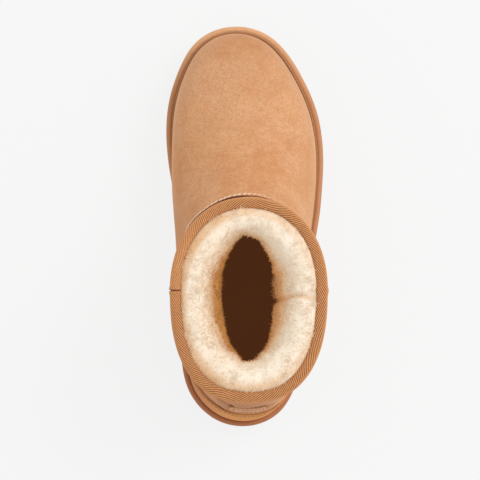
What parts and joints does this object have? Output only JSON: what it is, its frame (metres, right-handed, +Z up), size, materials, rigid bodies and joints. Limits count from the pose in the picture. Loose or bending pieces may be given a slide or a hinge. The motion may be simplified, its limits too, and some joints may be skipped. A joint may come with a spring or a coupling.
{
  "type": "sheepskin boot",
  "caption": "Ankle-high sheepskin boot for the right foot: suede upper, deep wool pile lining and a woven tape round the collar, on a one-piece foam sole with a standing rim.",
  "frame": {"origin": "on the floor, under the middle of the sole's length and of its width", "axes": "+Y along the sole to the toe, +X to the outer side of the foot, +Z up out of the collar"},
  "size_m": [0.1063, 0.2696, 0.154],
  "materials": {
    "foam_sole": "matt moulded foam",
    "insole_wool": "dark brown pile",
    "suede": "brushed suede",
    "wool": "cream sheepskin pile",
    "tape": "woven tape",
    "counter_suede": "smoothed suede"
  },
  "bodies": {
    "root": {"outsole": "foam_sole", "insole": "insole_wool", "upper": "suede", "wool_lining": "wool", "collar_binding": "tape", "heel_counter": "counter_suede", "heel_tab": "tape", "vamp_seam": "suede", "side_seam_lateral": "suede", "side_seam_medial": "suede"}
  },
  "joints": []
}
